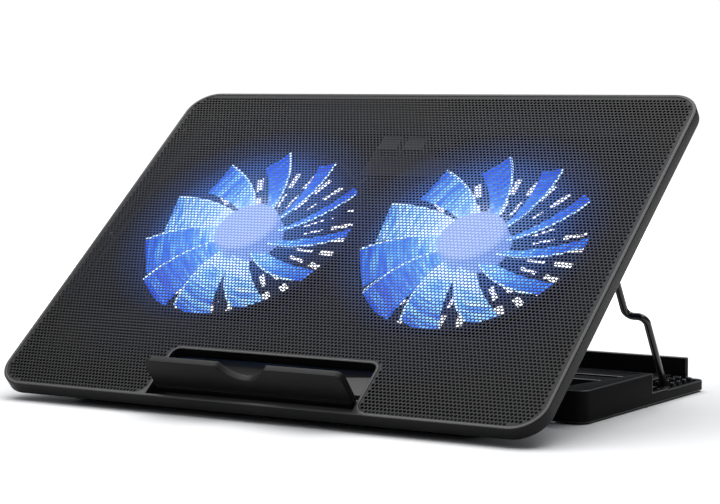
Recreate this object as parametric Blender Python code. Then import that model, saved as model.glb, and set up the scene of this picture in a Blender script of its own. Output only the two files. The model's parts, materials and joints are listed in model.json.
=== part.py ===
"""Laptop cooling pad: a tilting fan deck on a low base, propped by a wire bail.

World frame: +X to the right, +Y to the rear, +Z up, floor at Z = 0, metres.
Deck frame: x to the right, s from the deck's front edge to the rear along its surface,
t down from its top surface. A deck piece's mesh holds (x, s, -t), and its object hangs
from the empty that stands on the joint's axis.
"""
from math import atan2, cos, degrees, hypot, pi, radians, sin

import bmesh
import bpy
from mathutils import Matrix, Vector

MM = 0.001
GAP = 0.3 * MM                    # clearance between touching pieces

# ---- driving dimensions ------------------------------------------------------------------
DECK_WIDTH = 380 * MM
DECK_DEPTH = 281 * MM
SKIRT_DEPTH = 8.46 * MM           # height of the deck's edge
DECK_CORNER = 19.5 * MM
DECK_TILT = radians(39.25)        # steepest rack position
FRONT_Y = -131.1 * MM            # deck's front top edge, so that the whole is centred on Y
FRONT_Z = 10.7 * MM

HINGE_S = 26 * MM                 # deck hinge, in the deck frame
HINGE_T = 14 * MM
HINGE_X = 123 * MM
PIN_RADIUS = 1.5 * MM

FAN_X = 82.25 * MM
FAN_S = 152.6 * MM
HUB_RADIUS = 22 * MM
TIP_RADIUS = 73.5 * MM
HUB_TOP_T = 7.2 * MM              # rotor's datum
CAP_RISE = 3.4 * MM               # cap's top above the datum
BLADES = 11

STOP_HALF = 68.75 * MM            # laptop stop
STOP_HEIGHT = 20 * MM             # above the deck's surface
STOP_THICK = 4.8 * MM
STOP_S = 11.9 * MM                # its hinge axis
STOP_T = 2.9 * MM

BAIL_S = 185.8 * MM               # bail pivot, in the deck frame
BAIL_T = 22 * MM
BAIL_X = 150 * MM                 # upper leg
BAIL_FOOT_X = 163.3 * MM          # lower leg
BAIL_JOG = 68 * MM                # dogleg, along the leg
BAIL_ROD = 2.3 * MM               # rod radius
FOOT_Y = FRONT_Y + 221.5 * MM     # rod centre in the first groove
FOOT_Z = 8 * MM
RACK_PITCH = 9 * MM
RACK_GROOVES = 5

BASE_HALF = 171.3 * MM
TRAY_FRONT = FRONT_Y + 94.7 * MM
TRAY_REAR = FRONT_Y + 267.5 * MM
RAIL_END = FRONT_Y + 187.5 * MM   # where the tall rail steps down to the rack
WALL_FRONT = FRONT_Y + 262.5 * MM
BASE_UNDER = 1 * MM
RAIL_TOP = 19.95 * MM
LOW_FLOOR = 3.6 * MM

COVER_TOP = 6.9 * MM              # bottom cover's flange, as t
COVER_BOTTOM = 8.4 * MM
TUB_HALF = 163 * MM
TUB_FRONT_S = 70 * MM
TUB_REAR_S = 250 * MM
TUB_FLOOR_TOP = 17.7 * MM
TUB_FLOOR_BOTTOM = 19.2 * MM
TUB_WALL = 1.8 * MM

RECESS_HALF = 72.25 * MM
RECESS_FRONT = 2 * MM
RECESS_REAR = 40 * MM
RECESS_WALL = 1.8 * MM

SCREW_X = 184.3 * MM
SCREW_S = (35 * MM, 140.5 * MM, 246 * MM)

HINGE_Y = FRONT_Y + HINGE_S * cos(DECK_TILT) + HINGE_T * sin(DECK_TILT)
HINGE_Z = FRONT_Z + HINGE_S * sin(DECK_TILT) - HINGE_T * cos(DECK_TILT)

SIDES = {"left": -1, "right": 1}

# ---- scene, materials and small modelling tools ------------------------------------------
for old in list(bpy.data.objects):
    bpy.data.objects.remove(old, do_unlink=True)


def material(name, colour, roughness, metallic=0.0):
    made = bpy.data.materials.new(name)
    made.use_nodes = True
    shader = made.node_tree.nodes["Principled BSDF"]
    shader.inputs["Base Color"].default_value = (*colour, 1)
    shader.inputs["Roughness"].default_value = roughness
    shader.inputs["Metallic"].default_value = metallic
    made.diffuse_color = (*colour, 1)
    return made


BLACK_PLASTIC = material("black_plastic", (0.012, 0.012, 0.013), 0.42)
FRAME_PLASTIC = material("frame_plastic", (0.03, 0.03, 0.032), 0.4)
MESH_METAL = material("mesh_metal", (0.05, 0.05, 0.055), 0.45, 0.6)
ROD_BLACK = material("rod_black", (0.01, 0.01, 0.011), 0.2, 0.3)
BLADE_BLUE = material("blade_blue", (0.1, 0.25, 0.85), 0.25)
STEEL = material("steel", (0.55, 0.56, 0.58), 0.3, 1.0)
RUBBER = material("rubber", (0.02, 0.02, 0.02), 0.85)
COPPER = material("copper", (0.72, 0.35, 0.16), 0.35, 1.0)
BOARD_GREEN = material("board_green", (0.02, 0.16, 0.07), 0.45)
BRONZE = material("bronze", (0.5, 0.32, 0.14), 0.4, 1.0)


def empty(name, location, parent=None, angle=0.0):
    made = bpy.data.objects.new(name, None)
    made.location = location
    made.rotation_euler = (angle, 0, 0)
    made.parent = parent
    bpy.context.collection.objects.link(made)
    return made


def mesh_object(name, mesh, finish=None, parent=None, location=(0, 0, 0)):
    made = bpy.data.objects.new(name, mesh)
    made.parent = parent
    made.location = location
    if finish:
        mesh.materials.append(finish)
    bpy.context.collection.objects.link(made)
    return made


def finish_mesh(name, bm, smooth=True):
    bmesh.ops.recalc_face_normals(bm, faces=bm.faces)
    mesh = bpy.data.meshes.new(name)
    bm.to_mesh(mesh)
    bm.free()
    if smooth:
        mesh.shade_smooth()
        mesh.set_sharp_from_angle(angle=radians(35))
    return mesh


def add_prism(bm, outline, low, high, axis="Z"):
    """Extrude a closed outline from low to high along an axis, into bm."""
    place = {
        "Z": lambda u, v, w: (u, v, w),
        "X": lambda u, v, w: (w, u, v),
        "Y": lambda u, v, w: (u, w, v),
    }[axis]
    bottom = [bm.verts.new(place(u, v, low)) for u, v in outline]
    top = [bm.verts.new(place(u, v, high)) for u, v in outline]
    bm.faces.new(bottom)
    bm.faces.new(top)
    count = len(outline)
    for i in range(count):
        j = (i + 1) % count
        bm.faces.new((bottom[i], bottom[j], top[j], top[i]))


def prism(name, outline, low, high, axis="Z"):
    bm = bmesh.new()
    add_prism(bm, outline, low, high, axis)
    return finish_mesh(name, bm)


def rectangle(u0, u1, v0, v1):
    return [(u0, v0), (u1, v0), (u1, v1), (u0, v1)]


def arc(centre, radius, start, end, steps):
    """Points on a circle from one angle to another, in degrees, ends included."""
    points = []
    for i in range(steps + 1):
        angle = radians(start + (end - start) * i / steps)
        points.append((centre[0] + radius * cos(angle), centre[1] + radius * sin(angle)))
    return points


def rounded(u0, u1, v0, v1, radius, steps=5):
    """A rectangle with rounded corners, anticlockwise from its lower right corner."""
    return (arc((u1 - radius, v0 + radius), radius, -90, 0, steps)
            + arc((u1 - radius, v1 - radius), radius, 0, 90, steps)
            + arc((u0 + radius, v1 - radius), radius, 90, 180, steps)
            + arc((u0 + radius, v0 + radius), radius, 180, 270, steps))


def circle(centre, radius, steps=20):
    return arc(centre, radius, 0, 360 - 360 / steps, steps - 1)


def mirrored(outline):
    """The same outline on the other side of X = 0."""
    return [(-u, v) for u, v in reversed(outline)]


def add_turned(bm, profile, centre=(0, 0), steps=32, phase=0.0):
    """Turn a closed (radius, z) profile about a vertical axis, into bm."""
    rings = []
    for radius, z in profile:
        if radius == 0:
            rings.append([bm.verts.new((centre[0], centre[1], z))])
            continue
        ring = []
        for i in range(steps):
            angle = 2 * pi * i / steps + phase
            ring.append(bm.verts.new((centre[0] + radius * cos(angle),
                                      centre[1] + radius * sin(angle), z)))
        rings.append(ring)
    for first, second in zip(rings, rings[1:] + rings[:1]):
        if len(first) == 1 and len(second) == 1:
            continue
        for i in range(steps):
            j = (i + 1) % steps
            corners = [first[i % len(first)], first[j % len(first)],
                       second[j % len(second)], second[i % len(second)]]
            bm.faces.new(list(dict.fromkeys(corners)))


def turned(name, profile, steps=32):
    bm = bmesh.new()
    add_turned(bm, profile, steps=steps)
    return finish_mesh(name, bm)


def combine(target, operation, mesh):
    """Union or difference with a hidden tool that sits where the target sits."""
    tool = mesh_object(mesh.name, mesh, parent=target.parent, location=target.location)
    tool.hide_render = True
    tool.display_type = "WIRE"
    step = target.modifiers.new(mesh.name, "BOOLEAN")
    step.operation = operation
    step.object = tool
    return tool


def cut(target, mesh):
    return combine(target, "DIFFERENCE", mesh)


def join(target, mesh):
    return combine(target, "UNION", mesh)


def prisms(name, pieces, axis="Z"):
    """One mesh of several separate prisms, each (outline, low, high)."""
    bm = bmesh.new()
    for outline, low, high in pieces:
        add_prism(bm, outline, low, high, axis)
    return finish_mesh(name, bm)


def lug_outline(centre, radius, half_base, base_level):
    """A tab with a straight foot at base_level and a round end about centre."""
    u, v = centre
    below = base_level < v
    ends = arc(centre, radius, 0, 180, 8) if below else arc(centre, radius, 180, 360, 8)
    first, last = (u - half_base, base_level), (u + half_base, base_level)
    return ends + [first, last] if below else ends + [last, first]


# ---- bodies: the empties that stand on the joints' axes ----------------------------------
deck_pivot = empty("deck_pivot", (0, HINGE_Y, HINGE_Z), angle=DECK_TILT)
DECK_ORIGIN = Vector((0, -HINGE_S, HINGE_T))


def deck_point(x, s, t):
    """A point of the deck frame, in the deck pivot's own frame."""
    return Vector((x, s, -t)) + DECK_ORIGIN


def deck_piece(name, mesh, finish):
    return mesh_object(name, mesh, finish, deck_pivot, DECK_ORIGIN)


def world_of(x, s, t):
    """A point of the deck frame, in the world."""
    turn = Matrix.Rotation(DECK_TILT, 3, "X")
    return Vector((0, HINGE_Y, HINGE_Z)) + turn @ deck_point(x, s, t)


# ---- base frame: moulded tray, side rails, rear wall, shelf and hinge arms ----------------
def build_base():
    deep = 30 * MM
    shelf_top = 9 * MM
    shelf_under = 6.5 * MM
    wall_top = 20.8 * MM
    lip_inner = 168.5 * MM
    rear = lambda value: FRONT_Y + value * MM

    base = mesh_object("base_frame", prism(
        "base_frame", rounded(-BASE_HALF, BASE_HALF, TRAY_FRONT, TRAY_REAR, 7 * MM),
        BASE_UNDER, wall_top), BLACK_PLASTIC)

    middle = rectangle(-150 * MM, 150 * MM, rear(98.7), rear(216))
    cut(base, prism("tool_base_middle", middle, -deep, deep))
    taper = [(149 * MM, rear(98.7)), (153 * MM, rear(112)), (165.5 * MM, rear(187.6)),
             (149 * MM, rear(187.6))]
    cut(base, prisms("tool_rail_taper", [(outline, LOW_FLOOR, deep)
                                         for outline in (taper, mirrored(taper))]))
    channel = rectangle(149 * MM, lip_inner, RAIL_END, WALL_FRONT)
    cut(base, prisms("tool_rack_channel", [(outline, LOW_FLOOR, deep)
                                           for outline in (channel, mirrored(channel))]))
    lip = rectangle(160 * MM, 180 * MM, RAIL_END, rear(280))
    cut(base, prisms("tool_rail_step", [(outline, 8.3 * MM, deep)
                                        for outline in (lip, mirrored(lip))]))
    low_lip = rectangle(162 * MM, 180 * MM, rear(210), rear(280))
    cut(base, prisms("tool_low_lip", [(outline, 7.4 * MM, deep)
                                      for outline in (low_lip, mirrored(low_lip))]))
    cut(base, prism("tool_over_shelf", rectangle(-151 * MM, 151 * MM, rear(215), WALL_FRONT),
                    shelf_top, deep))
    cut(base, prism("tool_under_shelf", rectangle(-149 * MM, 149 * MM, rear(218), rear(261)),
                    -deep, shelf_under))
    cut(base, prism("tool_behind_wall", rectangle(-180 * MM, 180 * MM, rear(266), rear(280)),
                    7.4 * MM, deep))
    cut(base, prism("tool_rail_top", rectangle(-180 * MM, 180 * MM, rear(80), WALL_FRONT),
                    RAIL_TOP, deep))
    slot_half = 137 * MM
    cut(base, prisms("tool_shelf_slots", [
        (rectangle(-slot_half, slot_half, rear(258.2), rear(260.8)), 5 * MM, deep),
        (rectangle(-slot_half, slot_half, rear(232.5), rear(240)), 5 * MM, deep)]))
    hollow = [(156 * MM, rear(101)), (169.3 * MM, rear(101)), (169.3 * MM, rear(185)),
              (167.5 * MM, rear(185))]
    cut(base, prisms("tool_rail_hollow", [(outline, -deep, 18 * MM)
                                          for outline in (hollow, mirrored(hollow))]))

    outer, inner, beam_rear = 142 * MM, 112 * MM, rear(40)
    arms = [(-outer, rear(22)), (outer, rear(22)), (outer, rear(96)), (inner, rear(96)),
            (inner, beam_rear), (-inner, beam_rear), (-inner, rear(96)), (-outer, rear(96))]
    join(base, prism("tool_arms", arms, BASE_UNDER, 9 * MM))

    cheek = lug_outline((HINGE_Y, HINGE_Z), 5 * MM, 6.5 * MM, 6 * MM)
    cheeks = []
    for side in SIDES.values():
        for offset in (-9.3 * MM, 9.3 * MM):
            centre = side * HINGE_X + offset
            cheeks.append((cheek, centre - 3.5 * MM, centre + 3.5 * MM))
    join(base, prisms("tool_cheeks", cheeks, axis="X"))
    bore = circle((HINGE_Y, HINGE_Z), PIN_RADIUS + GAP, 16)
    cut(base, prisms("tool_hinge_bores", [
        (bore, side * HINGE_X - 20 * MM, side * HINGE_X + 20 * MM)
        for side in SIDES.values()], axis="X"))
    cut(base, prisms("tool_foot_pockets", [
        (circle(spot, 6 * MM + GAP, 24), -deep, 2.4 * MM) for spot in FEET.values()]))
    return base


FEET = {
    "foot_front_left": (-127 * MM, FRONT_Y + 60 * MM),
    "foot_front_right": (127 * MM, FRONT_Y + 60 * MM),
    "foot_rear_left": (-160 * MM, FRONT_Y + 250 * MM),
    "foot_rear_right": (160 * MM, FRONT_Y + 250 * MM),
}


def build_feet():
    """Rubber discs pressed into pockets of the base, 1 mm proud."""
    profile = [(0, 2.1 * MM), (6 * MM, 2.1 * MM), (6 * MM, 0.5 * MM), (5.5 * MM, 0), (0, 0)]
    for name, spot in FEET.items():
        mesh_object(name, turned(name, profile, 24), RUBBER, location=(*spot, 0))


def build_racks():
    """Toothed strips in the rear corners, two rows each, with a lane for the bail's foot."""
    low, groove, tip = LOW_FLOOR + GAP, 5.3 * MM, 10 * MM
    first = FOOT_Y - RACK_PITCH / 2
    outline = [(FOOT_Y - 8 * MM, low), (WALL_FRONT - GAP, low), (WALL_FRONT - GAP, groove)]
    for tooth in range(RACK_GROOVES - 1, 0, -1):
        centre = first + tooth * RACK_PITCH
        outline += [(centre + 1.9 * MM, groove), (centre + 0.8 * MM, tip - 0.6 * MM),
                    (centre, tip), (centre - 0.8 * MM, tip - 0.6 * MM),
                    (centre - 1.9 * MM, groove)]
    outline += [(FOOT_Y - 3 * MM, groove), (FOOT_Y - 4 * MM, groove + 2.5 * MM),
                (FOOT_Y - 8 * MM, groove + 2.5 * MM)]
    for word, side in SIDES.items():
        inner, outer = sorted((side * 155.6 * MM, side * 168.2 * MM))
        name = "rack_" + word
        rack = mesh_object(name, prism(name, outline, inner, outer, "X"), BLACK_PLASTIC)
        half = BAIL_ROD + GAP
        lane = rectangle(side * BAIL_FOOT_X - half, side * BAIL_FOOT_X + half,
                         FOOT_Y - 9 * MM, WALL_FRONT + 9 * MM)
        cut(rack, prism("tool_lane_" + word, lane, groove, 20 * MM))


def build_hinge_pins():
    for word, side in SIDES.items():
        name = "hinge_pin_" + word
        centre = side * HINGE_X
        mesh = prism(name, circle((HINGE_Y, HINGE_Z), PIN_RADIUS, 16),
                     centre - 13 * MM, centre + 13 * MM, "X")
        mesh_object(name, mesh, STEEL)


# ---- deck shell ---------------------------------------------------------------------------
def deck_outline(inset, steps=6):
    """The deck's rounded outline, moved inwards all round, as (x, s)."""
    half = DECK_WIDTH / 2 - inset
    return rounded(-half, half, inset, DECK_DEPTH - inset, DECK_CORNER - inset, steps)


def recess_outline(grow=0.0, front=RECESS_FRONT):
    """The stop's recess: square at the front, rounded at its rear corners."""
    half, rear, radius = RECESS_HALF + grow, RECESS_REAR + grow, 5 * MM + grow
    return ([(-half, front), (half, front)]
            + arc((half - radius, rear - radius), radius, 0, 90, 4)
            + arc((radius - half, rear - radius), radius, 90, 180, 4))


def flare_outline(reach=6 * MM):
    """Hollow-sided corner between the recess wall and the front rim, on the right."""
    x = RECESS_HALF + RECESS_WALL - 0.4 * MM
    s = 1.9 * MM
    return [(x, s)] + arc((x + reach, s + reach), reach - 0.01 * MM, 270, 180, 5)


def build_top_frame():
    lip, ledge, wall = 2.3 * MM, 5.2 * MM, 2 * MM
    seat, under = 1.2 * MM, 2.4 * MM
    frame = deck_piece("top_frame", prism("top_frame", deck_outline(0), -SKIRT_DEPTH, 0),
                       FRAME_PLASTIC)
    cut(frame, prism("tool_mesh_seat", deck_outline(lip), -seat, 5 * MM))
    cut(frame, prism("tool_frame_opening", deck_outline(ledge), -20 * MM, 4 * MM))
    cut(frame, prism("tool_frame_under", deck_outline(wall), -19 * MM, -under))
    join(frame, prism("tool_recess_wall", recess_outline(RECESS_WALL, 1.5 * MM),
                      -(COVER_TOP - GAP), -0.01 * MM))
    flare = flare_outline()
    join(frame, prisms("tool_flares", [(outline, -under, -0.02 * MM)
                                       for outline in (flare, mirrored(flare))]))
    cut(frame, prism("tool_recess", recess_outline(), -21 * MM, 6 * MM))
    bosses = [(circle((side * SCREW_X, s), 2.9 * MM, 16), -(COVER_TOP - GAP), -1.5 * MM)
              for side in SIDES.values() for s in SCREW_S]
    join(frame, prisms("tool_bosses", bosses))
    holes = [(circle((side * SCREW_X, s), 1.4 * MM, 12), -20 * MM, -2.2 * MM)
             for side in SIDES.values() for s in SCREW_S]
    cut(frame, prisms("tool_boss_holes", holes))
    bores = [(circle((STOP_S, -STOP_T), 1.2 * MM + GAP, 12), *sorted((side * 70 * MM, side * 80 * MM)))
             for side in SIDES.values()]
    cut(frame, prisms("tool_stop_bores", bores, axis="X"))


def build_mesh_panel():
    """The perforated sheet's solid shape, with the recess cut out of its front."""
    panel = deck_piece("mesh_panel", prism("mesh_panel", deck_outline(2.6 * MM), -0.9 * MM,
                                           -0.3 * MM), MESH_METAL)
    notch = recess_outline(RECESS_WALL + GAP, -5 * MM)
    cut(panel, prism("tool_panel_notch", notch, -5 * MM, 5 * MM))
    corner = 6.6 * MM
    x, s = RECESS_HALF + RECESS_WALL, 2.3 * MM
    flare = [(x - 1 * MM, s - 3 * MM), (x + corner, s - 3 * MM)] \
        + arc((x + corner, s + corner), corner, 270, 180, 5) + [(x - 1 * MM, s + corner)]
    cut(panel, prisms("tool_panel_corners", [(outline, -4 * MM, 4 * MM)
                                             for outline in (flare, mirrored(flare))]))


def vent_slots():
    """Radial slots in the tub's floor, two rings under each fan."""
    count, slots = 30, []
    for side in SIDES.values():
        for i in range(count):
            angle = 2 * pi * i / count
            across = Vector((cos(angle), -sin(angle)))
            along = Vector((sin(angle), cos(angle)))
            centre = Vector((side * FAN_X, FAN_S))
            under_clip = i == (5 if side > 0 else 25)
            for near, far, half in ((34, 48, 1.7), (53, 68, 2.5)):
                if under_clip and near == 53:
                    continue
                corners = [centre + along * near * MM - across * half * MM,
                           centre + along * near * MM + across * half * MM,
                           centre + along * far * MM + across * half * MM,
                           centre + along * far * MM - across * half * MM]
                slots.append(([tuple(corner) for corner in corners],
                              -25 * MM, -(TUB_FLOOR_TOP - 1 * MM)))
    return slots


def tub_outline(inset, steps=5):
    return rounded(-TUB_HALF + inset, TUB_HALF - inset, TUB_FRONT_S + inset,
                   TUB_REAR_S - inset, 22 * MM - inset, steps)


def build_bottom_cover():
    cover = deck_piece("bottom_cover", prism("bottom_cover", deck_outline(2.3 * MM),
                                             -COVER_BOTTOM, -COVER_TOP), BLACK_PLASTIC)
    join(cover, prism("tool_tub", tub_outline(0), -TUB_FLOOR_BOTTOM, -7.6 * MM))
    cut(cover, prism("tool_tub_inside", tub_outline(TUB_WALL), -TUB_FLOOR_TOP, 5 * MM))
    rest = rounded(-71.4 * MM, 71.4 * MM, 19 * MM, 34 * MM, 2 * MM, 2)
    join(cover, prism("tool_stop_rest", rest, -7.5 * MM, -5.6 * MM))
    lug = lug_outline((HINGE_S, -HINGE_T), 5 * MM, 8 * MM, -7.8 * MM)
    join(cover, prisms("tool_deck_lugs", [
        (lug, side * HINGE_X - 5.3 * MM, side * HINGE_X + 5.3 * MM)
        for side in SIDES.values()], axis="X"))
    bore = circle((HINGE_S, -HINGE_T), PIN_RADIUS + GAP, 16)
    cut(cover, prisms("tool_lug_bores", [
        (bore, side * HINGE_X - 9 * MM, side * HINGE_X + 9 * MM)
        for side in SIDES.values()], axis="X"))
    cut(cover, prisms("tool_vents", vent_slots()))
    holes = [(circle((side * SCREW_X, s), 1.4 * MM, 12), -20 * MM, 0)
             for side in SIDES.values() for s in SCREW_S]
    cut(cover, prisms("tool_cover_holes", holes))
    cut(cover, prisms("tool_rear_ports", [
        (rectangle(x0 - GAP, x1 + GAP, -z1 - GAP, -z0 + GAP), TUB_REAR_S - 9 * MM,
         TUB_REAR_S + 9 * MM) for x0, x1, z0, z1 in PORTS.values()], axis="Y"))
    return cover


# Rear ports as x0, x1, t0, t1 of what fills each hole in the tub's rear wall.
PORTS = {
    "usb_socket_left": (-26 * MM, -12 * MM, 9.5 * MM, 15.9 * MM),
    "usb_socket_right": (-7 * MM, 7 * MM, 9.5 * MM, 15.9 * MM),
    "switch_housing": (14 * MM, 29 * MM, 9.2 * MM, 17 * MM),
}


def build_cover_screws():
    """Pan-head screws from below, through the cover into the frame's bosses."""
    profile = [(0, -3.4 * MM), (1.1 * MM, -3.4 * MM), (1.1 * MM, -8.7 * MM),
               (2.4 * MM, -8.7 * MM), (2.4 * MM, -9.4 * MM), (1.9 * MM, -10 * MM),
               (0, -10 * MM)]
    number = 0
    for side in SIDES.values():
        for s in SCREW_S:
            number += 1
            name = "cover_screw_%d" % number
            screw = deck_piece(name, turned(name, profile, 12), STEEL)
            screw.location = deck_point(side * SCREW_X, s, 0)


# ---- fans ---------------------------------------------------------------------------------
def blade_edges(r):
    """Azimuths of a blade's upper and lower edges at radius r, clockwise from the rear."""
    share = (r - HUB_RADIUS) / (TIP_RADIUS - HUB_RADIUS)
    return radians(18 - 21 * share), radians(-6 - 15 * share)


def add_blade(bm, turn):
    """One swept blade, a curved sheet 1.2 mm thick from the hub wall to the tip."""
    spans, chords, thick = 4, 2, 0.6 * MM
    sheets = []
    for face in (1, -1):
        sheet = []
        for i in range(spans + 1):
            share = i / spans
            r = 21.2 * MM + (TIP_RADIUS - 21.2 * MM) * share
            upper, lower = blade_edges(r)
            z_upper = -1.4 * MM + 3.6 * MM * share
            z_lower = -7.4 * MM - 1.4 * MM * share
            row = []
            for j in range(chords + 1):
                along = j / chords
                azimuth = upper + (lower - upper) * along + turn
                bow = 1.1 * MM * sin(pi * along)
                z = z_upper + (z_lower - z_upper) * along - bow + face * thick
                row.append(bm.verts.new((r * sin(azimuth), r * cos(azimuth), z)))
            sheet.append(row)
        sheets.append(sheet)
    top, bottom = sheets
    for sheet in sheets:
        for i in range(spans):
            for j in range(chords):
                bm.faces.new((sheet[i][j], sheet[i + 1][j], sheet[i + 1][j + 1], sheet[i][j + 1]))
    border = ([(i, 0) for i in range(spans)] + [(spans, j) for j in range(chords)]
              + [(i, chords) for i in range(spans, 0, -1)]
              + [(0, j) for j in range(chords, 0, -1)])
    for (a, b), (c, d) in zip(border, border[1:] + border[:1]):
        bm.faces.new((top[a][b], top[c][d], bottom[c][d], bottom[a][b]))


def build_fan(word, side):
    centre = deck_point(side * FAN_X, FAN_S, 0)
    pivot = empty("rotor_pivot_" + word, deck_point(side * FAN_X, FAN_S, HUB_TOP_T), deck_pivot)

    def fixed(name, profile, finish, steps=32):
        piece = mesh_object(name + "_" + word, turned(name + "_" + word, profile, steps),
                            finish, deck_pivot, centre)
        return piece

    hub = [(0, CAP_RISE), (21 * MM, CAP_RISE), (HUB_RADIUS, CAP_RISE - 1 * MM),
           (HUB_RADIUS, -8.4 * MM), (20.5 * MM, -8.4 * MM),
           (20.5 * MM, CAP_RISE - 1.5 * MM), (0, CAP_RISE - 1.5 * MM)]
    rotor = mesh_object("rotor_" + word, turned("rotor_" + word, hub, 40), BLADE_BLUE, pivot)
    bm = bmesh.new()
    for i in range(BLADES):
        add_blade(bm, 2 * pi * i / BLADES)
    join(rotor, finish_mesh("tool_blades_" + word, bm))
    mesh_object("magnet_ring_" + word, turned("magnet_ring_" + word, [
        (20.2 * MM, -2 * MM), (20.2 * MM, -8.2 * MM), (18.5 * MM, -8.2 * MM),
        (18.5 * MM, -2 * MM)]), RUBBER, pivot)
    mesh_object("shaft_" + word, turned("shaft_" + word, [
        (0, CAP_RISE - 1.8 * MM), (1.5 * MM, CAP_RISE - 1.8 * MM), (1.5 * MM, -8.6 * MM),
        (0, -8.6 * MM)], 16),
        STEEL, pivot)

    fixed("motor_mount", [(24 * MM, -16.4 * MM), (24 * MM, -17.4 * MM), (0, -17.4 * MM),
                          (0, -16.6 * MM), (3.6 * MM, -16.6 * MM), (3.6 * MM, -9.6 * MM),
                          (4.8 * MM, -9.6 * MM), (4.8 * MM, -16.4 * MM)], BLACK_PLASTIC)
    fixed("bearing", [(3.3 * MM, -9.8 * MM), (3.3 * MM, -16.3 * MM), (1.8 * MM, -16.3 * MM),
                      (1.8 * MM, -9.8 * MM)], BRONZE, 20)
    fixed("led_board", [(17.5 * MM, -15.5 * MM), (17.5 * MM, -16.1 * MM),
                        (5.1 * MM, -16.1 * MM), (5.1 * MM, -15.5 * MM)], BOARD_GREEN, 24)
    fixed("fan_shroud", [(77 * MM, -7.6 * MM), (77 * MM, -16.1 * MM), (75.2 * MM, -16.1 * MM),
                         (75.2 * MM, -7.6 * MM)], BLACK_PLASTIC, 64)

    poles, outline = 6, []
    for i in range(poles):
        base_angle = 360 * i / poles
        outline += arc((0, 0), 17.6 * MM, base_angle - 21, base_angle + 21, 3)
        outline += arc((0, 0), 8 * MM, base_angle + 26, base_angle + 34, 1)
    stator = prism("stator_" + word, outline, -15 * MM, -10.6 * MM)
    stator_piece = mesh_object("stator_" + word, stator, COPPER, deck_pivot, centre)
    cut(stator_piece, prism("tool_stator_" + word, circle((0, 0), 5.1 * MM, 20),
                            -18 * MM, -9 * MM))

    start = Vector((side * 27 * MM, 215.4 * MM))
    hub_point = Vector((side * FAN_X, FAN_S))
    along = (hub_point - start).normalized()
    across = Vector((-along.y, along.x)) * 1.2 * MM
    end = hub_point - along * 24.6 * MM
    ribbon = [tuple(start - across), tuple(end - across), tuple(end + across),
              tuple(start + across)]
    deck_piece("fan_lead_" + word, prism("fan_lead_" + word, ribbon, -17.4 * MM, -16.7 * MM),
               RUBBER)


# ---- electronics at the rear of the tub ---------------------------------------------------
def build_electronics():
    board = rectangle(-33 * MM, 33 * MM, 217.5 * MM, TUB_REAR_S - TUB_WALL - 1 * MM)
    board_piece = deck_piece("control_board", prism("control_board", board, -17.4 * MM,
                                                    -16.2 * MM), BOARD_GREEN)
    x0, x1, _, _ = PORTS["switch_housing"]
    room = rectangle(x0 - 1 * MM, x1 + 1 * MM, TUB_REAR_S - 14 * MM, TUB_REAR_S + 5 * MM)
    cut(board_piece, prism("tool_board_room", room, -20 * MM, -10 * MM))

    wall, length = 0.5 * MM, 13.5 * MM
    for name in ("usb_socket_left", "usb_socket_right"):
        x0, x1, t0, t1 = PORTS[name]
        shell = deck_piece(name, prism(name, rectangle(x0, x1, -t1, -t0),
                                       TUB_REAR_S - length, TUB_REAR_S, "Y"), STEEL)
        cut(shell, prism("tool_" + name, rectangle(x0 + wall, x1 - wall, -t1 + wall,
                                                   -t0 - wall),
                         TUB_REAR_S - length + 1 * MM, TUB_REAR_S + 2 * MM, "Y"))

    x0, x1, t0, t1 = PORTS["switch_housing"]
    housing = deck_piece("switch_housing", prism(
        "switch_housing", rectangle(x0, x1, -t1, -t0), TUB_REAR_S - 11 * MM,
        TUB_REAR_S + 0.8 * MM, "Y"), BLACK_PLASTIC)
    cut(housing, prism("tool_switch_well", rectangle(x0 + 1.2 * MM, x1 - 1.2 * MM,
                                                     -t1 + 1.2 * MM, -t0 - 1.2 * MM),
                       TUB_REAR_S - 8 * MM, TUB_REAR_S + 3 * MM, "Y"))

    axis_x, axis_s, axis_t = ROCKER_AXIS
    pivot = empty("rocker_pivot", deck_point(axis_x, axis_s, axis_t), deck_pivot)
    foot, half = 5.4 * MM, 4.7 * MM
    slope = sin(radians(7))
    face = 4.6 * MM
    outline = [(-foot, -1.5 * MM), (foot, -1.5 * MM), (foot, 1.2 * MM),
               (half, face - half * slope), (0, face - 1.4 * MM),
               (-half, face + half * slope - 0.4 * MM), (-foot, 1.2 * MM)]
    rocker_half = (t1 - t0) / 2 - 1.2 * MM - GAP
    mesh_object("power_rocker", prism("power_rocker", outline, -rocker_half, rocker_half),
                BLACK_PLASTIC, pivot)


ROCKER_AXIS = ((PORTS["switch_housing"][0] + PORTS["switch_housing"][1]) / 2,
               TUB_REAR_S - 3.2 * MM,
               (PORTS["switch_housing"][2] + PORTS["switch_housing"][3]) / 2)


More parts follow.
